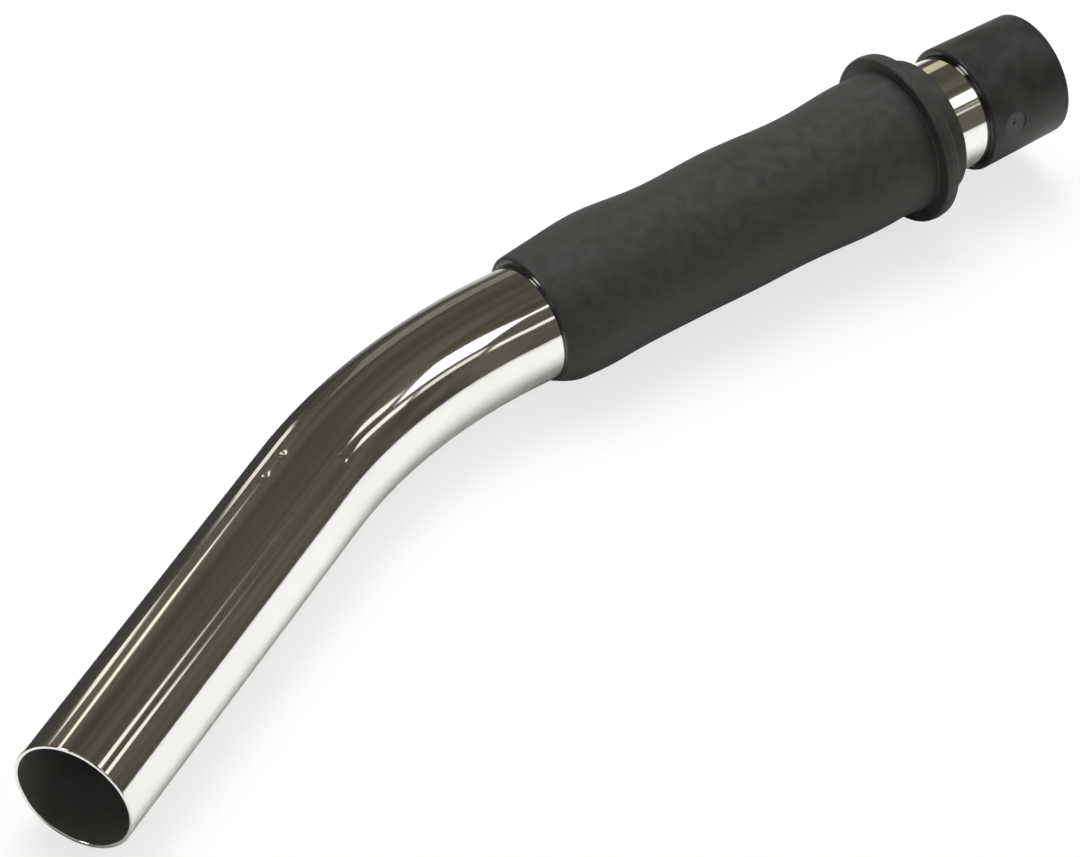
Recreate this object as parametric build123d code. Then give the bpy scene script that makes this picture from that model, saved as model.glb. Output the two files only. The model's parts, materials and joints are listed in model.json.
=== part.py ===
from build123d import *
from math import asin, cos, degrees, radians, sin, sqrt
import os

os.makedirs("parts", exist_ok=True)

# Curved wand handle of a vacuum cleaner, lying on its side as it comes to rest.
# It is laid out flat first: the front arm runs along +X from its open end,
# the bend turns towards -Y, and +Z is up. All sizes are in millimetres.

# Bent tube: plated steel, plain open end in front, rolled groove near the rear end
tube_od = 32.0
tube_wall = 1.0
front_arm_len = 115.0
bend_radius = 158.0
bend_deg = 28.0

# Rubber hand grip on the rear arm
grip_setback = 7.8
grip_len = 132.0
grip_lip = 1.4
grip_front_swell = 3.25
grip_front_swell_len = 7.2
grip_bulge = 3.9
grip_waist = 3.2
grip_palm = 3.5
grip_heel_waist = 3.25
grip_heel = 4.2
grip_fit_clear = 0.03

# Finger stop and the short boss behind it
stop_height = 4.1
stop_thick = 4.4
stop_root_fillet = 0.6
stop_edge_round = 1.0
stop_crown = 0.15
boss_len = 6.4
boss_wall = 3.5
boss_round = 1.2
boss_root_fillet = 1.8

# Swivel cuff on the rear end of the tube
neck_len = 10.7
cuff_len = 27.0
cuff_front_wall = 1.92
cuff_rear_wall = 1.42
cuff_tube_depth = 14.0
cuff_stop_gap = 0.5
cuff_stop_thick = 1.5
cuff_run_clear = 0.08
hose_shoulder = 0.9
cuff_front_round = 0.8
cuff_rear_round = 1.0
cuff_mouth_chamfer = 0.2

# Retaining studs, pressed into the cuff with their tips in the tube's groove
stud_count = 2
stud_first_deg = 173.0
stud_setback = 7.5
stud_head_d = 7.0
stud_head_thick = 0.6
stud_head_sink = 0.3
stud_shank_d = 4.6
stud_tip_gap = 0.3
stud_fit_clear = 0.02
stud_pip_d = 1.4
stud_pip_height = 0.22
groove_depth = 1.2
groove_ramp = 1.0
groove_side_clear = 0.3

# Radii and stations that follow from the sizes above
tube_r = tube_od / 2
bore_r = tube_r - tube_wall
hose_socket_r = bore_r + hose_shoulder
turn = radians(bend_deg)
grip_start = grip_setback
grip_end = grip_start + grip_len
cuff_start = grip_end + neck_len
cuff_end = cuff_start + cuff_len
tube_end = cuff_start + cuff_tube_depth
stud_station = cuff_start + stud_setback
grip_bore_r = tube_r + grip_fit_clear
cuff_bore_r = tube_r + cuff_run_clear
boss_start = grip_end - boss_len
stop_mid = boss_start - stop_thick / 2
stop_start = boss_start - stop_thick
heel_r = tube_r + grip_heel
stop_r = heel_r + stop_height
boss_r = tube_r + boss_wall
cuff_front_r = cuff_bore_r + cuff_front_wall
cuff_rear_r = cuff_bore_r + cuff_rear_wall

# The end of the bend, with local x to the outer side of the bend, y up and z along the rear arm
bend_end = (front_arm_len + bend_radius * sin(turn), -bend_radius * (1 - cos(turn)), 0)
rear = Plane(origin=bend_end, x_dir=(sin(turn), cos(turn), 0), z_dir=(cos(turn), -sin(turn), 0))


def turned(points_to_face):
    """A solid of revolution about the rear arm's axis, from a face drawn as radius against station."""
    return revolve(points_to_face, axis=Axis.Z)


# Bent tube
front_ring = Plane.YZ * (Circle(tube_r) - Circle(bore_r))
front_arm = extrude(front_ring, amount=front_arm_len)
bend_ring = Plane.YZ.offset(front_arm_len) * (Circle(tube_r) - Circle(bore_r))
bend_axis = Axis((front_arm_len, -bend_radius, 0), (0, 0, -1))
bend = revolve(bend_ring, axis=bend_axis, revolution_arc=bend_deg)
groove_flat = stud_shank_d / 2 + groove_side_clear
groove_reach = groove_flat + groove_ramp
groove_wall = [
    (0, stud_station - groove_reach),
    (-groove_depth, stud_station - groove_flat),
    (-groove_depth, stud_station + groove_flat),
    (0, stud_station + groove_reach),
]
tube_outer = [(tube_r, 0)]
tube_outer += [(tube_r + step, z) for step, z in groove_wall]
tube_outer += [(tube_r, tube_end)]
tube_inner = [(bore_r, 0)]
tube_inner += [(bore_r + step, z) for step, z in groove_wall]
tube_inner += [(bore_r, tube_end)]
tube_section = Plane.XZ * make_face(Polyline(*tube_outer, *reversed(tube_inner), close=True))
rear_arm = rear.location * turned(tube_section)
bent_tube = front_arm + bend + rear_arm

# Hand grip: gentle finger waves over the hand's width, then the finger stop and the boss
hand_len = stop_start - stop_root_fillet - grip_start
wave_from = grip_start + grip_front_swell_len
wave_len = hand_len - grip_front_swell_len
wave = [
    (tube_r + grip_lip, grip_start),
    (tube_r + grip_front_swell, wave_from),
    (tube_r + grip_bulge, wave_from + 0.17 * wave_len),
    (tube_r + grip_waist, wave_from + 0.36 * wave_len),
    (tube_r + grip_palm, wave_from + 0.53 * wave_len),
    (tube_r + grip_heel_waist, wave_from + 0.74 * wave_len),
    (heel_r, stop_start - stop_root_fillet),
]
stop_edge = min(stop_edge_round, 0.45 * stop_thick)
root_top = heel_r + stop_root_fillet
rim_r = stop_r - stop_crown
face_top = rim_r - stop_edge
boss_fillet = min(boss_root_fillet, 0.7 * (boss_len - boss_round), 0.9 * (face_top - boss_r))
arc = sqrt(0.5)
hand_curve = Spline(*wave, tangents=((0.6, 1), (0, 1)), tangent_scalars=(0.6, 1))
outline = [
    hand_curve,
    ThreePointArc(
        (heel_r, stop_start - stop_root_fillet),
        (root_top - stop_root_fillet * arc, stop_start - stop_root_fillet * (1 - arc)),
        (root_top, stop_start),
    ),
    Line((root_top, stop_start), (face_top, stop_start)),
    ThreePointArc(
        (face_top, stop_start),
        (face_top + stop_edge * arc, stop_start + stop_edge * (1 - arc)),
        (rim_r, stop_start + stop_edge),
    ),
    ThreePointArc((rim_r, stop_start + stop_edge), (stop_r, stop_mid), (rim_r, boss_start - stop_edge)),
    ThreePointArc(
        (rim_r, boss_start - stop_edge),
        (face_top + stop_edge * arc, boss_start - stop_edge * (1 - arc)),
        (face_top, boss_start),
    ),
    Line((face_top, boss_start), (boss_r + boss_fillet, boss_start)),
    ThreePointArc(
        (boss_r + boss_fillet, boss_start),
        (boss_r + boss_fillet * (1 - arc), boss_start + boss_fillet * (1 - arc)),
        (boss_r, boss_start + boss_fillet),
    ),
    Line((boss_r, boss_start + boss_fillet), (boss_r, grip_end - boss_round)),
    ThreePointArc(
        (boss_r, grip_end - boss_round),
        (boss_r - boss_round * (1 - arc), grip_end - boss_round * (1 - arc)),
        (boss_r - boss_round, grip_end),
    ),
    Polyline(
        (boss_r - boss_round, grip_end),
        (grip_bore_r, grip_end),
        (grip_bore_r, grip_start),
        (tube_r + grip_lip, grip_start),
    ),
]
grip_section = Plane.XZ * make_face(Curve() + outline)
hand_grip = rear.location * turned(grip_section)

# Swivel cuff: runs on the tube in front, takes the hose behind the inner stop
stop_z = tube_end + cuff_stop_gap
socket_z = stop_z + cuff_stop_thick
cuff_section = Plane.XZ * make_face(
    Polyline(
        (cuff_bore_r, cuff_start),
        (cuff_front_r, cuff_start),
        (cuff_rear_r, cuff_end),
        (hose_socket_r, cuff_end),
        (hose_socket_r, socket_z),
        (bore_r, socket_z),
        (bore_r, stop_z),
        (cuff_bore_r, stop_z),
        close=True,
    )
)
cuff = turned(cuff_section)
front_edges = cuff.edges().filter_by(GeomType.CIRCLE).group_by(Axis.Z)[0].sort_by(SortBy.RADIUS)
cuff = fillet(front_edges[-1], min(cuff_front_round, 0.6 * cuff_front_wall))
front_edges = cuff.edges().filter_by(GeomType.CIRCLE).group_by(Axis.Z)[0].sort_by(SortBy.RADIUS)
cuff = chamfer(front_edges[0], min(cuff_mouth_chamfer, 0.3 * cuff_front_wall))
rear_edges = cuff.edges().filter_by(GeomType.CIRCLE).group_by(Axis.Z)[-1].sort_by(SortBy.RADIUS)
cuff = fillet(rear_edges[-1], min(cuff_rear_round, 0.6 * (cuff_rear_r - hose_socket_r)))

# Stud seats: a flat-bottomed recess for the head and a hole for the shank
stud_share = stud_setback / cuff_len
cuff_r_at_stud = cuff_front_r + (cuff_rear_r - cuff_front_r) * stud_share
head_top = cuff_r_at_stud - stud_head_sink
head_seat = head_top - stud_head_thick
tip_r = tube_r - groove_depth + stud_tip_gap
studs = []
for index in range(stud_count):
    angle = stud_first_deg + 360 * index / stud_count
    outward = (cos(radians(angle)), sin(radians(angle)), 0)
    seat = Plane(origin=(0, 0, stud_station), x_dir=(0, 0, 1), z_dir=outward)
    recess = extrude(seat.offset(head_seat) * Circle(stud_head_d / 2 + stud_fit_clear), amount=tube_r)
    hole = extrude(seat.offset(tip_r) * Circle(stud_shank_d / 2 + stud_fit_clear), amount=tube_r)
    cuff = cuff - recess - hole
    shank = extrude(seat.offset(tip_r) * Circle(stud_shank_d / 2), amount=head_seat - tip_r)
    head = extrude(seat.offset(head_seat) * Circle(stud_head_d / 2), amount=stud_head_thick)
    pip = extrude(seat.offset(head_top) * Circle(stud_pip_d / 2), amount=stud_pip_height)
    studs.append(shank + head + pip)

# At rest it lies on the front edge of the tube, on the grip's front bulge and on the finger stop.
# The bulge and the stop set a small roll about the front arm and a slight rise along it.
stop_lift = stop_r - tube_r
stop_x = bend_end[0] + stop_mid * cos(turn)
stop_side = -bend_end[1] + stop_mid * sin(turn)
rises = [0]
for step in range(61):
    spot = hand_curve @ (step / 60)
    lift = spot.X - tube_r
    along = bend_end[0] + spot.Y * cos(turn)
    side = -bend_end[1] + spot.Y * sin(turn)
    rises.append((lift * stop_side - stop_lift * side) / (along * stop_side - stop_x * side))
rise = max(rises[:-6])
roll = asin((stop_lift - rise * stop_x) / stop_side)
rise = asin(rise)
rest = Rot(0, -degrees(rise), 0) * Rot(-degrees(roll), 0, 0)

nodes = {
    "bent_tube": rest * bent_tube,
    "hand_grip": rest * hand_grip,
    "swivel_cuff": rest * rear.location * cuff,
}
for index, stud in enumerate(studs):
    nodes[f"retaining_stud_{index + 1}"] = rest * rear.location * stud

# The origin is under the middle of the whole handle, on the surface that it lies on
box = Compound(children=[part for part in nodes.values()]).bounding_box()
to_origin = Pos(-(box.min.X + box.max.X) / 2, -(box.min.Y + box.max.Y) / 2, -box.min.Z)
frame_place = to_origin * rest
for name in list(nodes):
    nodes[name] = to_origin * nodes[name]

for name, part in nodes.items():
    solid = part.solids()[0] if len(part.solids()) == 1 else part
    solid.label = name
    export_step(solid, f"parts/{name}.step")
    size = solid.bounding_box().size
    print(f"{name}: solids {len(part.solids())}, volume {part.volume:.1f} mm3, "
          f"box {size.X:.1f} x {size.Y:.1f} x {size.Z:.1f} mm")
print(f"roll {degrees(roll):.2f} deg, rise {degrees(rise):.2f} deg")
print(f"whole box {box.size.X:.1f} x {box.size.Y:.1f} x {box.size.Z:.1f} mm")
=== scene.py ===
# %% [markdown]
# This is the curved handle of a vacuum cleaner's wand: one bent chrome tube, a rubber
# grip pushed over its rear arm, and a black cuff that turns on its rear end.
# The measured model comes in first as a fixed frame, because it holds every size and place.
# The pieces below are worked out in that same frame, in metres, so nothing is fitted by eye.

# %% Load the measured model
import json

import bpy
import numpy as np
from mathutils import Matrix, Vector


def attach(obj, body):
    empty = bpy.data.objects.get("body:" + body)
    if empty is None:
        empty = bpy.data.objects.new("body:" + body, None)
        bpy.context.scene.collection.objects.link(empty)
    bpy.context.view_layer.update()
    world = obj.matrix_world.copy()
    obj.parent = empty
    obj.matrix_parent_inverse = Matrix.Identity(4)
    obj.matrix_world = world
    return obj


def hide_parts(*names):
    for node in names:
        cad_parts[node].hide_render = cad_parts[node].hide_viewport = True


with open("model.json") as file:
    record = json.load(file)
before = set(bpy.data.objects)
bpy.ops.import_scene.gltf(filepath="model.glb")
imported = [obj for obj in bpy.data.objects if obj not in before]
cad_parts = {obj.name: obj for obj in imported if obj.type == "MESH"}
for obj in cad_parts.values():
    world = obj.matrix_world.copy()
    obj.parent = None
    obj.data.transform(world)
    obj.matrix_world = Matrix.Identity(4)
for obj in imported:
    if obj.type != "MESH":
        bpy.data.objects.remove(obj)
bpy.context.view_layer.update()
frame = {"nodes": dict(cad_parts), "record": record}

MM = 0.001

# %% [markdown]
# A photograph taken from far away with a long lens shows parallel edges almost parallel.
# The camera could be placed by trial, but its place was worked out from the tube's edges
# and round ends, so its position and its two picture axes are simply written down.

# %% Camera
CAMERA_PLACE = (-0.76720, -0.34631, 0.78822)
SENSOR_WIDTH = 36.0
LENS_LENGTH = 148.55
FAR_LIMIT = 100.0
picture_right = Vector((0.4414, -0.8971, 0.0178)).normalized()
looking_along = Vector((0.6637, 0.3130, -0.6794)).normalized()
picture_up = picture_right.cross(looking_along).normalized()
camera_data = bpy.data.cameras.new("photo_camera")
camera_data.sensor_fit = "HORIZONTAL"
camera_data.sensor_width = SENSOR_WIDTH
camera_data.lens = LENS_LENGTH
camera_data.clip_end = FAR_LIMIT
camera = bpy.data.objects.new("photo_camera", camera_data)
bpy.context.scene.collection.objects.link(camera)
camera_turn = Matrix((picture_right, picture_up, -looking_along)).transposed()
camera.matrix_world = Matrix.Translation(CAMERA_PLACE) @ camera_turn.to_4x4()
bpy.context.scene.camera = camera
bpy.context.scene.view_settings.view_transform = "Standard"
print("camera", tuple(round(value, 4) for value in camera.location))

# %% [markdown]
# The real tube is bent on a former: straight arm, one round bend, straight arm.
# All three pieces follow that one centre line, so it is written once, as a function of
# the station, the distance in millimetres from the tube's open front end.
# It gives the point on the line and two directions across it: towards the outer side
# of the bend, and up out of the bend's plane.

# %% Centre line of the bent tube
mounts = {mount["name"]: mount for mount in frame["record"]["mounts"]}
spigot = mounts["front_spigot"]
hose_socket = mounts["hose_socket"]
FRONT_ARM = spigot["dims"]["length_mm"]
TUBE_R = spigot["dims"]["r_mm"]
BEND_RADIUS = 158.0
front_way = -np.array(spigot["axis"])
front_way /= np.linalg.norm(front_way)
rear_way = np.array(hose_socket["axis"])
rear_way /= np.linalg.norm(rear_way)
open_end = np.array(spigot["pos_m"]) - front_way * FRONT_ARM / 2 * MM
BEND_TURN = np.arccos(front_way @ rear_way)
inner_way = (rear_way - front_way * np.cos(BEND_TURN)) / np.sin(BEND_TURN)
upward = np.cross(inner_way, front_way)
REAR_ARM_AT = FRONT_ARM + BEND_RADIUS * BEND_TURN


def bent_line(station):
    """Straight, then a circular arc, then straight.
    The turn so far is the arc length past the front arm divided by the bend's radius."""
    station = np.asarray(station, dtype=float)[..., None]
    turned = np.clip((station - FRONT_ARM) / BEND_RADIUS, 0, BEND_TURN)
    way = front_way * np.cos(turned) + inner_way * np.sin(turned)
    outer = front_way * np.sin(turned) - inner_way * np.cos(turned)
    straight = np.minimum(station, FRONT_ARM)
    arc = BEND_RADIUS * (np.sin(turned) * front_way + (1 - np.cos(turned)) * inner_way)
    past = np.maximum(station - REAR_ARM_AT, 0)
    centre = open_end + MM * (straight * front_way + arc + past * way)
    return centre, outer


print("bend", round(float(np.degrees(BEND_TURN)), 2), "degrees,",
      "rear arm from", round(float(REAR_ARM_AT), 1), "mm")

# %% [markdown]
# Tube and grip are both rings: a closed outline of the wall, carried round the centre line.
# Blender could bevel a curve or spin a profile, but a grid of points keeps full control of
# small dents and of a section that isn't quite concentric.
# One parameter runs along the wall's outline, outside and back along the bore, the other
# runs round it. Both close on themselves, so the skin has no seam and no pole.

# %% A wall carried round the line
def wall_points(station, radius, columns, shift_outer=0.0, shift_up=0.0):
    """Point = centre + (radius cos a + shift) outer + (radius sin a + shift) up,
    for every station of the wall's outline and every angle a round it."""
    angle = np.arange(columns) * 2 * np.pi / columns
    centre, outer = bent_line(station)
    radius = np.asarray(radius, dtype=float)
    radius = radius[:, None] if radius.ndim == 1 else radius
    across = radius * np.cos(angle) + np.reshape(shift_outer, (-1, 1))
    above = radius * np.sin(angle) + np.reshape(shift_up, (-1, 1))
    return centre[:, None] + MM * (across[..., None] * outer[:, None] + above[..., None] * upward)


def ring_piece(name, points, along):
    """Joins each point to its neighbours in the next row and column, both closed in a ring.
    The UV map holds metres along the wall's outline and metres round the tube's girth."""
    rows, columns = points.shape[:2]
    here = np.arange(rows * columns).reshape(rows, columns)
    beside = np.roll(here, -1, axis=1)
    ahead = np.roll(here, -1, axis=0)
    quads = np.stack([here, beside, np.roll(beside, -1, axis=0), ahead], axis=-1).reshape(-1, 4)
    mesh = bpy.data.meshes.new(name)
    mesh.vertices.add(rows * columns)
    mesh.vertices.foreach_set("co", points.ravel())
    mesh.loops.add(quads.size)
    mesh.loops.foreach_set("vertex_index", quads.ravel())
    mesh.polygons.add(len(quads))
    mesh.polygons.foreach_set("loop_start", np.arange(0, quads.size, 4))
    mesh.update(calc_edges=True)
    mesh.polygons.foreach_set("use_smooth", np.ones(len(quads), dtype=bool))
    along_here = np.broadcast_to(np.asarray(along)[:-1, None], (rows, columns))
    along_next = np.broadcast_to(np.asarray(along)[1:, None], (rows, columns))
    girth = 2 * np.pi * TUBE_R
    round_here = np.broadcast_to(np.arange(columns) / columns, (rows, columns)) * girth
    round_next = round_here + girth / columns
    corners = np.stack([along_here, round_here, along_here, round_next,
                        along_next, round_next, along_next, round_here], axis=-1)
    uv = mesh.uv_layers.new(name="skin")
    uv.data.foreach_set("uv", (corners * MM).ravel())
    piece = bpy.data.objects.new(name, mesh)
    bpy.context.scene.collection.objects.link(piece)
    print(name, rows, "x", columns, "grid")
    return piece


def outline_length(station, radius):
    """Running length of a closed outline, with the step back to its start added at the end."""
    radius = radius.mean(axis=1) if radius.ndim == 2 else radius
    steps = np.hypot(np.diff(np.append(station, station[0])), np.diff(np.append(radius, radius[0])))
    return np.concatenate([[0.0], np.cumsum(steps)])


def rounded(station_centre, radius_centre, size, start, stop, count):
    """Points of a round edge: a circle about its centre from angle start to angle stop,
    with 0 degrees along the tube and 90 degrees away from its axis."""
    turn = np.radians(np.linspace(start, stop, count))
    return station_centre + size * np.cos(turn), radius_centre + size * np.sin(turn)


# %% [markdown]
# The tube is 32 mm steel with a 1 mm wall. Its front edge is cut square and polished, so
# it catches the light as a thin bright ring. Bending left a few small press marks where
# the arm meets the bend: shallow hollows a millimetre or two wide, which a mirror finish
# shows as tiny glints. A bump texture would vanish at the edge, so they are real hollows.

# %% Outline of the tube's wall
WALL = 1.0
BORE_R = TUBE_R - WALL
REAR_ARM = 164.5
TUBE_END = REAR_ARM_AT + REAR_ARM
GROOVE_AT = REAR_ARM_AT + 158.0
GROOVE_DEPTH = 1.2
GROOVE_REACH = 3.6
GROOVE_RAMP = 1.0
GROOVE_ROOM = 14.0
CUFF_ROOM = 30.0
MARKS_FROM = 96.0
MARKS_TO = 122.0
BEND_SHOWS_TO = 202.0
EDGE = 0.28


def groove(station):
    """Depth of the rolled groove under the cuff: a flat floor with a short ramp each side."""
    return GROOVE_DEPTH * np.clip((GROOVE_REACH - np.abs(station - GROOVE_AT)) / GROOVE_RAMP, 0, 1)


first_rows = EDGE + np.array([0, 0.05, 0.15, 0.4, 0.9])
outside = np.concatenate([
    first_rows, np.arange(EDGE + 2, MARKS_FROM, 2.0), np.arange(MARKS_FROM, MARKS_TO, 0.5),
    np.arange(MARKS_TO, BEND_SHOWS_TO, 1.0), np.arange(BEND_SHOWS_TO, TUBE_END - CUFF_ROOM, 6.0),
    np.arange(TUBE_END - CUFF_ROOM, TUBE_END - EDGE, 0.6)])
inside = np.concatenate([
    np.arange(TUBE_END - EDGE, TUBE_END - GROOVE_ROOM, -0.9),
    np.arange(TUBE_END - GROOVE_ROOM, EDGE, -4.0)])
rear_out = rounded(TUBE_END - EDGE, TUBE_R - EDGE, EDGE, 90, 0, 5)
rear_in = rounded(TUBE_END - EDGE, BORE_R + EDGE, EDGE, 0, -90, 5)
front_in = rounded(EDGE, BORE_R + EDGE, EDGE, 270, 180, 5)
front_out = rounded(EDGE, TUBE_R - EDGE, EDGE, 180, 90, 5)
tube_parts = [
    (outside, TUBE_R - groove(outside)), rear_out, rear_in,
    (inside[1:], BORE_R - groove(inside[1:])), front_in, (front_out[0][:-1], front_out[1][:-1])]
tube_station = np.concatenate([part[0] for part in tube_parts])
tube_radius = np.concatenate([part[1] for part in tube_parts])
print("tube outline", len(tube_station), "points")

# %% Press marks at the start of the bend
TUBE_COLUMNS = 200
press_marks = np.array([
    # station, angle in degrees, depth, half length along, half width round
    (117.4, 127.0, 0.10, 0.7, 0.9),
    (117.0, 133.5, 0.07, 1.0, 0.5),
    (109.0, 134.0, 0.03, 6.0, 0.4),
    (117.6, 103.0, 0.09, 0.7, 0.8),
    (110.0, 79.0, 0.09, 1.0, 1.0),
    (101.0, 78.0, 0.10, 1.3, 0.9),
])


def marks_depth(station, columns):
    """Sum of small bell-shaped hollows, each with its own length along and width round."""
    angle = np.degrees(np.arange(columns) * 2 * np.pi / columns)
    depth = np.zeros((len(station), columns))
    for at, where, deep, long, wide in press_marks:
        along_off = (station - at)[:, None] / long
        round_off = np.radians((angle - where + 180) % 360 - 180)[None, :] * TUBE_R / wide
        depth += deep * np.exp(-(along_off ** 2 + round_off ** 2))
    return depth


tube_skin = np.repeat(tube_radius[:, None], TUBE_COLUMNS, axis=1)
tube_skin[:len(outside)] -= marks_depth(outside, TUBE_COLUMNS)
tube = ring_piece("bent_chrome_tube", wall_points(tube_station, tube_skin, TUBE_COLUMNS),
                  outline_length(tube_station, tube_radius))
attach(tube, "wand")
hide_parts("bent_tube")

# %% [markdown]
# The grip is one soft rubber moulding. Its back has two long swells under the palm and its
# belly has shallower ones for the fingers, so the section is a circle whose centre wanders
# a little off the tube's axis. Each side is a plain radius plus a few bell-shaped swells.
# In front it thins to a small lip on the chrome, and at the rear it flares into a round
# finger stop with a short rounded boss behind it.

# %% Waves of the hand grip
LIP_AFTER_BEND = 7.8
GRIP_LENGTH = 132.0
BOSS_LENGTH = 6.4
STOP_THICKNESS = 4.4
HEEL_LENGTH = 9.0
GRIP_AT = REAR_ARM_AT + LIP_AFTER_BEND
GRIP_END = GRIP_AT + GRIP_LENGTH
BOSS_AT = GRIP_END - BOSS_LENGTH
STOP_AT = BOSS_AT - STOP_THICKNESS
HEEL_R = 20.2
STOP_R = 24.3
BOSS_R = 19.5
GRIP_BORE_R = 16.03
BACK_LIP_R = 17.8
BELLY_LIP_R = 16.85
BACK_NOSE = 0.5
BELLY_NOSE = 7.0
TAPER_R = 18.3
TAPER_SLOPE = 0.105
TAPER_LENGTH = 14.0
ROOT = 0.4


def swells(base, humps, station):
    """A plain radius plus one bell-shaped hump for each station, height and half width given."""
    reach = station[:, None] - REAR_ARM_AT - humps[:, 0]
    return base + (humps[:, 1] * np.exp(-(reach / humps[:, 2]) ** 2)).sum(axis=1)


lip_rows = GRIP_AT + np.array([0.08, 0.25, 0.55, 1.0])
hand = np.concatenate([lip_rows, np.arange(GRIP_AT + 1.6, STOP_AT - ROOT, 0.7)])
from_lip = hand - GRIP_AT
back = swells(18.41, np.array([(32.6, 2.21, 16.4), (75.0, 1.45, 20.2), (121.6, 1.91, 16.2)]), hand)
belly = swells(19.05, np.array([(22.0, 0.59, 9.3), (72.1, 0.24, 11.8), (112.5, 1.12, 16.3)]), hand)
into_heel = np.clip((hand - (STOP_AT - ROOT - HEEL_LENGTH)) / HEEL_LENGTH, 0, 1)
into_heel = into_heel ** 2 * (3 - 2 * into_heel)
back += (HEEL_R - back) * into_heel
belly += (HEEL_R - belly) * into_heel
nose_back = np.clip(from_lip / BACK_NOSE, 0, 1) ** 0.5
nose_belly = np.sin(np.clip(from_lip / BELLY_NOSE, 0, 1) * np.pi / 2)
back += (TAPER_R + TAPER_SLOPE * from_lip - back) * np.clip(1 - from_lip / TAPER_LENGTH, 0, 1)
back = BACK_LIP_R + (back - BACK_LIP_R) * nose_back
belly = BELLY_LIP_R + (belly - BELLY_LIP_R) * nose_belly
print("grip back", round(back.max(), 2), "belly", round(belly.max(), 2), "mm at most")

# %% Outline of the grip's wall
FRONT_ROUND = 0.7
REAR_ROUND = 1.4
FOOT_ROUND = 1.8
BOSS_ROUND = 1.2
FLAT_INSET = 0.4
CROWN = 0.15
GRIP_COLUMNS = 144
rim_r = STOP_R - CROWN
root = rounded(STOP_AT - ROOT, HEEL_R + ROOT, ROOT, 270, 360, 7)
face_r = np.linspace(HEEL_R + ROOT, rim_r - FRONT_ROUND, 7)[1:-1]
front_edge = rounded(STOP_AT + FRONT_ROUND, rim_r - FRONT_ROUND, FRONT_ROUND, 180, 90, 9)
rim_s = np.linspace(STOP_AT + FRONT_ROUND, BOSS_AT - REAR_ROUND, 13)[1:-1]
rim_half = (rim_s[-1] - rim_s[0]) / 2
rim_crown = CROWN * np.cos((rim_s - rim_s.mean()) / rim_half * np.pi / 2) ** 2
rear_edge = rounded(BOSS_AT - REAR_ROUND, rim_r - REAR_ROUND, REAR_ROUND, 90, 0, 9)
foot = rounded(BOSS_AT + FOOT_ROUND, BOSS_R + FOOT_ROUND, FOOT_ROUND, 180, 270, 8)
boss_flat = np.linspace(BOSS_AT + FOOT_ROUND + FLAT_INSET, GRIP_END - BOSS_ROUND - FLAT_INSET, 4)
boss_edge = rounded(GRIP_END - BOSS_ROUND, BOSS_R - BOSS_ROUND, BOSS_ROUND, 90, 0, 8)
bore_back = np.linspace(GRIP_END, GRIP_AT, 24)
lip_share = np.array([0.3, 0.6, 0.85])
mean_r = (back + belly) / 2
lip_r = GRIP_BORE_R + (mean_r[0] - GRIP_BORE_R) * lip_share
grip_parts = [
    (hand, mean_r), root, (np.full_like(face_r, STOP_AT), face_r), front_edge,
    (rim_s, rim_r + rim_crown), rear_edge, foot, (boss_flat, np.full_like(boss_flat, BOSS_R)),
    boss_edge, (bore_back, np.full_like(bore_back, GRIP_BORE_R)), (np.full_like(lip_r, GRIP_AT), lip_r)]
grip_station = np.concatenate([part[0] for part in grip_parts])
grip_radius = np.concatenate([part[1] for part in grip_parts])
off_axis = np.zeros(len(grip_station))
off_axis[:len(hand)] = (back - belly) / 2
off_axis[-len(lip_share):] = off_axis[0] * lip_share
aside = off_axis * np.sqrt(0.5)
grip = ring_piece("rubber_hand_grip", wall_points(grip_station, grip_radius, GRIP_COLUMNS, aside, aside),
                  outline_length(grip_station, grip_radius))
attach(grip, "wand")
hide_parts("hand_grip")

# %% [markdown]
# Every finish starts the same way: one Principled shader, the object's own coordinates and
# some noise for what handling and moulding leave behind. A helper sets that up, so that
# each finish below only says what is special about it.

# %% Helpers for finishes
def new_finish(name):
    """A material with one Principled shader, and its coordinates."""
    finish = bpy.data.materials.new(name)
    finish.use_nodes = True
    tree = finish.node_tree
    shader = tree.nodes["Principled BSDF"]
    coords = tree.nodes.new("ShaderNodeTexCoord")
    return finish, tree, shader, coords


def noise(tree, where, scale, detail=3.0, stretch=None):
    """Noise of a given scale, drawn out along an axis where stretch says so."""
    if stretch:
        mapping = tree.nodes.new("ShaderNodeMapping")
        mapping.inputs["Scale"].default_value = stretch
        tree.links.new(where, mapping.inputs["Vector"])
        where = mapping.outputs["Vector"]
    node = tree.nodes.new("ShaderNodeTexNoise")
    node.inputs["Scale"].default_value = scale
    node.inputs["Detail"].default_value = detail
    tree.links.new(where, node.inputs["Vector"])
    return node.outputs["Fac"]


def spread(tree, value, low, high, start=0.3, stop=0.7):
    """Maps noise between start and stop to the range from low to high."""
    node = tree.nodes.new("ShaderNodeMapRange")
    node.inputs["From Min"].default_value = start
    node.inputs["From Max"].default_value = stop
    node.inputs["To Min"].default_value = low
    node.inputs["To Max"].default_value = high
    tree.links.new(value, node.inputs["Value"])
    return node.outputs["Result"]


def shades(tree, value, colours):
    """A colour ramp from a list of positions and colours."""
    node = tree.nodes.new("ShaderNodeValToRGB")
    ramp = node.color_ramp
    while len(ramp.elements) < len(colours):
        ramp.elements.new(0.5)
    for element, (position, colour) in zip(ramp.elements, colours):
        element.position = position
        element.color = (*colour, 1.0)
    tree.links.new(value, node.inputs["Fac"])
    return node.outputs["Color"]


def relief(tree, value, distance, strength=1.0, under=None):
    """Bump of a given height in metres, laid over another bump where one is given."""
    node = tree.nodes.new("ShaderNodeBump")
    node.inputs["Distance"].default_value = distance
    node.inputs["Strength"].default_value = strength
    tree.links.new(value, node.inputs["Height"])
    if under is not None:
        tree.links.new(under, node.inputs["Normal"])
    return node.outputs["Normal"]


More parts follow.
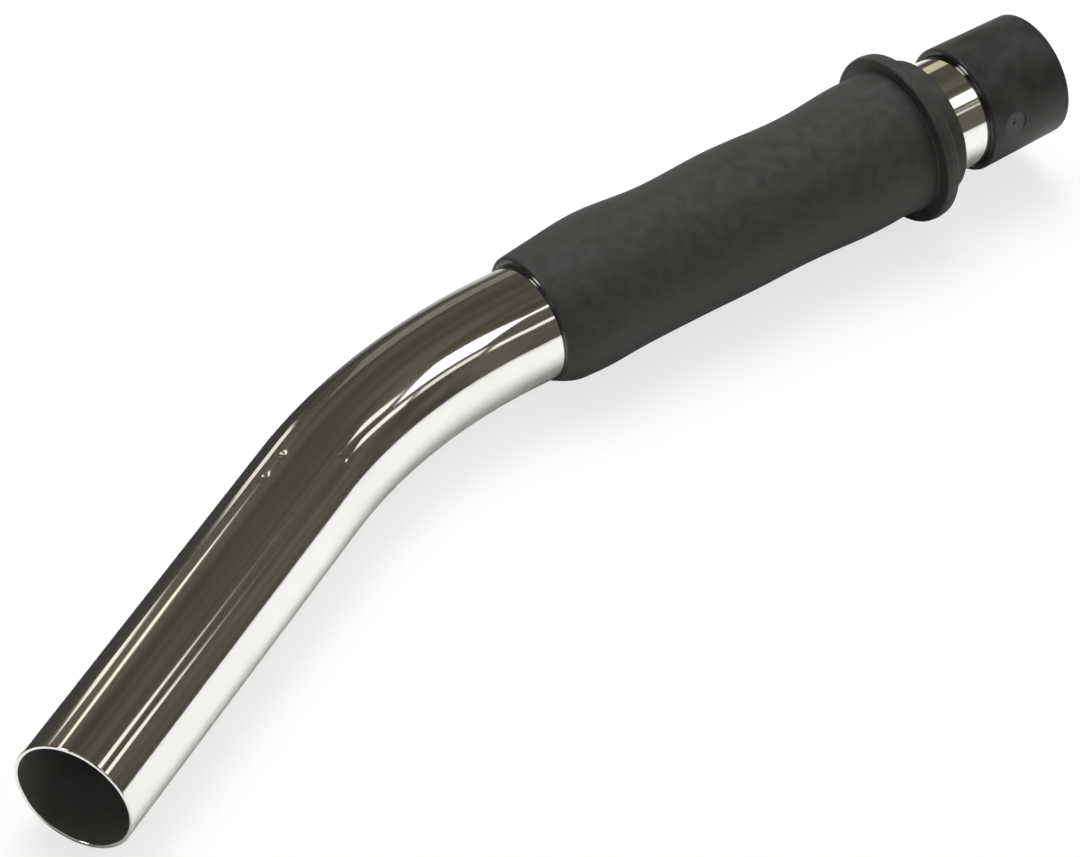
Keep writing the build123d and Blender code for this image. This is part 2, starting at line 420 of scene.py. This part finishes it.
def polished_before(tree, coords, station, smooth, elsewhere):
    """Roughness that is smooth on faces in front of a station of the rear arm, where a mould's
    parting face leaves a polished rim. The station is the place dotted with the arm's direction."""
    along = tree.nodes.new("ShaderNodeVectorMath")
    along.operation = "DOT_PRODUCT"
    along.inputs[1].default_value = rear_way
    tree.links.new(coords.outputs["Object"], along.inputs[0])
    place = float(bent_line(station)[0] @ rear_way)
    blur = 0.2 * MM
    behind = spread(tree, along.outputs["Value"], 0.0, 1.0, place - blur, place + blur)
    mix = tree.nodes.new("ShaderNodeMix")
    mix.inputs["A"].default_value = smooth
    tree.links.new(behind, mix.inputs["Factor"])
    tree.links.new(elsewhere, mix.inputs["B"])
    return mix.outputs["Result"]


# %% [markdown]
# Chrome is a mirror with a faint life of its own: drawing and polishing leave very long,
# very shallow ripples along the tube, and hands leave patches that are a touch less sharp.
# The ripples run along the UV map, so they follow the bend. The bore isn't plated: it is a
# dull grey, and looks nearly black because little light gets in.

# %% Chrome and bore
chrome, tree, shader, coords = new_finish("polished_chrome")
shader.inputs["Metallic"].default_value = 1.0
polish = noise(tree, coords.outputs["UV"], 900.0, 2.0, (0.012, 1.0, 1.0))
handled = noise(tree, coords.outputs["Object"], 34.0, 4.0)
tree.links.new(shades(tree, handled, [(0.3, (0.80, 0.80, 0.785)), (0.7, (0.87, 0.87, 0.86))]),
               shader.inputs["Base Color"])
tree.links.new(spread(tree, handled, 0.055, 0.085), shader.inputs["Roughness"])
tree.links.new(relief(tree, polish, 0.000001, 0.5), shader.inputs["Normal"])

bore, tree, shader, coords = new_finish("dull_bore")
dust = noise(tree, coords.outputs["Object"], 160.0, 4.0)
tree.links.new(shades(tree, dust, [(0.3, (0.155, 0.165, 0.16)), (0.7, (0.185, 0.197, 0.192))]),
               shader.inputs["Base Color"])
tree.links.new(spread(tree, dust, 0.6, 0.8), shader.inputs["Roughness"])
shader.inputs["Specular IOR Level"].default_value = 0.3

tube.data.materials.append(chrome)
tube.data.materials.append(bore)
rows = len(tube_station)
first_bore_row = len(outside) + len(rear_out[0]) + len(rear_in[0]) - 1
last_bore_row = rows - len(front_out[0]) + 1 - len(front_in[0])
in_bore = np.zeros((rows, TUBE_COLUMNS), dtype=np.int32)
in_bore[first_bore_row:last_bore_row] = 1
tube.data.polygons.foreach_set("material_index", in_bore.ravel())
print("bore rows", first_bore_row, "to", last_bore_row, "of", rows)

# %% [markdown]
# The grip's rubber is matte and dark grey. It has the fine dull grain of a spark-eroded
# mould and paler, cloudy patches where it has been handled.

# %% Rubber
rubber, tree, shader, coords = new_finish("matte_grip_rubber")
clouds = noise(tree, coords.outputs["Object"], 280.0, 7.0)
grain = noise(tree, coords.outputs["Object"], 1900.0, 3.0)
tree.links.new(shades(tree, clouds, [(0.3, (0.0290, 0.0294, 0.0287)), (0.7, (0.0455, 0.0462, 0.0454))]),
               shader.inputs["Base Color"])
matte_grain = spread(tree, clouds, 0.52, 0.66)
tree.links.new(polished_before(tree, coords, GRIP_AT + 0.3, 0.22, matte_grain), shader.inputs["Roughness"])
shader.inputs["Specular IOR Level"].default_value = 0.35
tree.links.new(relief(tree, grain, 0.00006, 0.5, relief(tree, clouds, 0.0002, 0.2)), shader.inputs["Normal"])
grip.data.materials.append(rubber)

# %% [markdown]
# The cuff and its studs keep their measured solids, because a turned sleeve with round
# seats is exactly what they are. The cuff is a satin moulding, a little glossier than
# the grip, and the studs are the same plastic, polished by their tool.

# %% Cuff and stud plastic
CUFF_AT = REAR_ARM_AT + 150.5
cuff_plastic, tree, shader, coords = new_finish("satin_cuff_plastic")
clouds = noise(tree, coords.outputs["Object"], 150.0, 5.0)
grain = noise(tree, coords.outputs["Object"], 2600.0, 2.0)
tree.links.new(shades(tree, clouds, [(0.3, (0.0148, 0.0153, 0.0150)), (0.7, (0.0365, 0.038, 0.037))]),
               shader.inputs["Base Color"])
satin = spread(tree, clouds, 0.42, 0.54)
tree.links.new(polished_before(tree, coords, CUFF_AT + 0.5, 0.16, satin), shader.inputs["Roughness"])
shader.inputs["Specular IOR Level"].default_value = 0.3
tree.links.new(relief(tree, grain, 0.00003, 0.4), shader.inputs["Normal"])

stud_plastic, tree, shader, coords = new_finish("stud_plastic")
clouds = noise(tree, coords.outputs["Object"], 400.0, 3.0)
tree.links.new(shades(tree, clouds, [(0.3, (0.015, 0.015, 0.0145)), (0.7, (0.025, 0.025, 0.024))]),
               shader.inputs["Base Color"])
tree.links.new(spread(tree, clouds, 0.28, 0.42), shader.inputs["Roughness"])

for name, node in frame["nodes"].items():
    if name == "swivel_cuff" or name.startswith("retaining_stud"):
        node.data.materials.clear()
        node.data.materials.append(cuff_plastic if name == "swivel_cuff" else stud_plastic)
        print(name, len(node.data.polygons), "faces")

# %% [markdown]
# The handle lies on a plain white floor. To the camera most of it is plain white, and to the
# chrome a little. The rest stays ordinary matte paper, so that the soft shadow still shows.

# %% Floor
FLOOR_HALF = 12.0
WHITE_TO_CAMERA = 0.75
WHITE_TO_MIRROR = 0.04
floor_mesh = bpy.data.meshes.new("floor")
floor_corners = [(-FLOOR_HALF, -FLOOR_HALF, 0), (FLOOR_HALF, -FLOOR_HALF, 0),
                 (FLOOR_HALF, FLOOR_HALF, 0), (-FLOOR_HALF, FLOOR_HALF, 0)]
floor_mesh.from_pydata(floor_corners, [], [(0, 1, 2, 3)])
floor = bpy.data.objects.new("floor", floor_mesh)
bpy.context.scene.collection.objects.link(floor)
paper = bpy.data.materials.new("white_paper")
paper.use_nodes = True
tree = paper.node_tree
tree.nodes.clear()
output = tree.nodes.new("ShaderNodeOutputMaterial")
matte = tree.nodes.new("ShaderNodeBsdfDiffuse")
matte.inputs["Color"].default_value = (0.86, 0.86, 0.85, 1)
white = tree.nodes.new("ShaderNodeEmission")
white.inputs["Color"].default_value = (1, 1, 1, 1)
white.inputs["Strength"].default_value = 1.0
rays = tree.nodes.new("ShaderNodeLightPath")
mirrored = tree.nodes.new("ShaderNodeMath")
mirrored.operation = "MAXIMUM"
mirrored_share = tree.nodes.new("ShaderNodeMath")
mirrored_share.operation = "MULTIPLY"
mirrored_share.inputs[1].default_value = WHITE_TO_MIRROR
share = tree.nodes.new("ShaderNodeMath")
share.operation = "MULTIPLY_ADD"
share.inputs[1].default_value = WHITE_TO_CAMERA
mix = tree.nodes.new("ShaderNodeMixShader")
tree.links.new(rays.outputs["Is Glossy Ray"], mirrored.inputs[0])
tree.links.new(rays.outputs["Is Transmission Ray"], mirrored.inputs[1])
tree.links.new(mirrored.outputs[0], mirrored_share.inputs[0])
tree.links.new(rays.outputs["Is Camera Ray"], share.inputs[0])
tree.links.new(mirrored_share.outputs[0], share.inputs[2])
tree.links.new(share.outputs[0], mix.inputs["Fac"])
tree.links.new(matte.outputs[0], mix.inputs[1])
tree.links.new(white.outputs[0], mix.inputs[2])
tree.links.new(mix.outputs[0], output.inputs["Surface"])
floor_mesh.materials.append(paper)
print("floor", 2 * FLOOR_HALF, "m wide")

# %% [markdown]
# A mirror on white paper loses its far edge, because that edge shows white paper too.
# Photographers stand a low dark strip beside the object, out of the picture, to turn the edge dark again.
# This strip is a painted reflection instead: it glows with a painted shade and lights nothing,
# and only the mirror sees it. It follows the same bent line. Along the bend its painted glow
# fades from dark to white, so that beside the grip the edge comes back gently.

# %% Painted reflection strip beside the tube
STRIP_PAST_ENDS = 60.0
STRIP_AWAY = 42.0
STRIP_FOOT = 0.5
STRIP_TOP = 13.5
strip_at = np.linspace(-STRIP_PAST_ENDS, TUBE_END + STRIP_PAST_ENDS, 90)
strip_centre, strip_outer = bent_line(np.maximum(strip_at, 0))
strip_centre = strip_centre + MM * np.minimum(strip_at, 0)[:, None] * front_way
knee = strip_centre[:, 2] + MM * np.interp(strip_at, (175, 205), (-3.0, 2.0))
dusk = knee + MM * np.interp(strip_at, (175, 205), (7.0, 10.0))
strip_top = strip_centre[:, 2] + MM * STRIP_TOP
strip_rows = np.repeat((strip_centre + MM * STRIP_AWAY * strip_outer)[None], 4, axis=0)
strip_rows[..., 2] = np.stack([np.full_like(knee, MM * STRIP_FOOT), knee, dusk, strip_top])
spot = np.arange(strip_rows[..., 2].size).reshape(4, -1)
strip_faces = np.stack([spot[:-1, :-1], spot[:-1, 1:], spot[1:, 1:], spot[1:, :-1]], axis=-1)
# The strip is a painted reflection: a glowing card that only the mirror sees, drawing the chrome's far edge.
strip_mesh = bpy.data.meshes.new("painted_reflection_strip")
strip_mesh.from_pydata(strip_rows.reshape(-1, 3).tolist(), [], strip_faces.reshape(-1, 4).tolist())
# Painted reflection: the glow is dark beside the front arm, brownish at the top, and fades to white beside
# the grip.
foot_grey = np.interp(strip_at, (155, 172, 222, 235), (0.054, 0.28, 0.65, 1.0))
top_grey = np.interp(strip_at, (150, 235), (0.054, 0.075))
foot_shade = foot_grey[:, None] * np.array([1.0, 1.0, 0.96])
top_shade = top_grey[:, None] * np.array([1.04, 1.0, 0.86])
strip_shade = np.ones((4, len(strip_at), 4))
strip_shade[..., :3] = np.stack([foot_shade, foot_shade, top_shade, top_shade])
shade = strip_mesh.color_attributes.new("shade", "FLOAT_COLOR", "POINT")
shade.data.foreach_set("color", strip_shade.ravel())
painted_reflection_strip = bpy.data.objects.new("painted_reflection_strip", strip_mesh)
bpy.context.scene.collection.objects.link(painted_reflection_strip)
# This material glows with the painted shade, though it is no lamp. It paints the reflection on the chrome's
# edge.
painted_reflection_glow = bpy.data.materials.new("painted_reflection_glow")
painted_reflection_glow.use_nodes = True
tree = painted_reflection_glow.node_tree
shader = tree.nodes["Principled BSDF"]
shader.inputs["Base Color"].default_value = (0, 0, 0, 1)
shader.inputs["Specular IOR Level"].default_value = 0.0
shader.inputs["Emission Strength"].default_value = 1.0
painted = tree.nodes.new("ShaderNodeAttribute")
painted.attribute_name = "shade"
tree.links.new(painted.outputs["Color"], shader.inputs["Emission Color"])
strip_mesh.materials.append(painted_reflection_glow)
painted_reflection_strip.visible_camera = False
painted_reflection_strip.visible_diffuse = False
painted_reflection_strip.visible_shadow = False
print("strip", len(strip_at), "stations")

# %% [markdown]
# A mirror shows its room. This one is dim and brownish, with a bright window to the right
# and rows of small ceiling panels, which draw the thin pale lines along the tube.
# A window at the side and one facing the open end give the polished rims their glints.
# Each panel is an area lamp placed by its direction from the handle and its size in degrees.
# The even light on the rubber comes from two large soft lamps overhead, which the mirror
# doesn't see.

# %% Room and lamps
world = bpy.data.worlds.new("dim_room")
bpy.context.scene.world = world
world.use_nodes = True
tree = world.node_tree
sky = tree.nodes["Background"]
looking = tree.nodes.new("ShaderNodeTexCoord").outputs["Generated"]
room = noise(tree, looking, 4.0, 3.0, (1.0, 1.0, 0.55))
tree.links.new(shades(tree, room, [(0.35, (0.066, 0.061, 0.044)), (0.5, (0.091, 0.086, 0.064)),
                                   (0.65, (0.125, 0.118, 0.090))]), sky.inputs["Color"])
sky.inputs["Strength"].default_value = 1.0
handle_middle = Vector((0.0, 0.01, 0.02))


def lamp_panel(name, azimuth, elevation, brightness, colour=(1.0, 1.0, 1.0), distance=8.0):
    """A rectangular lamp that fills a range of directions seen from the handle, in degrees.
    Its power is pi times its area times the brightness that it shows."""
    turn, rise = np.radians((sum(azimuth) / 2, sum(elevation) / 2))
    wide = np.radians(azimuth[1] - azimuth[0]) * np.cos(rise)
    tall = np.radians(elevation[1] - elevation[0])
    toward = Vector((np.cos(turn) * np.cos(rise), np.sin(turn) * np.cos(rise), np.sin(rise)))
    data = bpy.data.lights.new(name, "AREA")
    data.shape = "RECTANGLE"
    data.size = 2 * distance * np.tan(wide / 2)
    data.size_y = 2 * distance * np.tan(tall / 2)
    data.energy = np.pi * data.size * data.size_y * brightness
    data.color = colour
    lamp = bpy.data.objects.new(name, data)
    bpy.context.scene.collection.objects.link(lamp)
    lamp.location = handle_middle + toward * distance
    lamp.rotation_euler = (-toward).to_track_quat("-Z", "Y").to_euler()
    return lamp


CREAM = (1.0, 0.95, 0.84)
SOFTBOX_AWAY = 2.2
lamp_panel("window_right", (-77.0, -51.5), (42.2, 55.0), 1.6)
lamp_panel("ceiling_row_a", (-48.0, -35.2), (44.4, 48.6), 1.1, CREAM)
lamp_panel("ceiling_row_b", (-60.0, -45.8), (33.6, 38.0), 1.1, CREAM)
lamp_panel("ceiling_row_c", (-78.0, -62.0), (34.0, 38.4), 0.9, CREAM)
lamp_panel("ceiling_row_d", (-93.0, -80.6), (31.0, 35.6), 1.0, CREAM)
lamp_panel("left_wall_a", (47.6, 50.0), (26.5, 37.0), 1.15, (1.0, 0.94, 0.78))
lamp_panel("left_wall_b", (54.0, 55.6), (9.0, 18.0), 1.1, CREAM)
lamp_panel("left_wall_c", (50.2, 52.7), (1.0, 9.5), 0.9, CREAM)
lamp_panel("left_wall_glow", (26.0, 31.8), (11.5, 32.5), 0.5, (1.0, 0.98, 0.64))
lamp_panel("left_wall_haze", (34.0, 45.0), (5.5, 22.0), 0.13, (1.0, 0.98, 0.84))
side_window = lamp_panel("side_window", (104.0, 132.0), (43.0, 58.0), 9.0)
side_window.visible_diffuse = False
lamp_panel("back_window", (150.0, 200.0), (35.0, 55.0), 1.0)
for name, azimuth, elevation, brightness in (
        ("overhead_softbox", (-10.0, 90.0), (45.0, 85.0), 7.2),
        ("fill_softbox", (-110.0, -30.0), (42.0, 76.0), 1.1)):
    softbox = lamp_panel(name, azimuth, elevation, brightness, distance=SOFTBOX_AWAY)
    softbox.visible_glossy = False
print("lamps", len(bpy.data.lights))
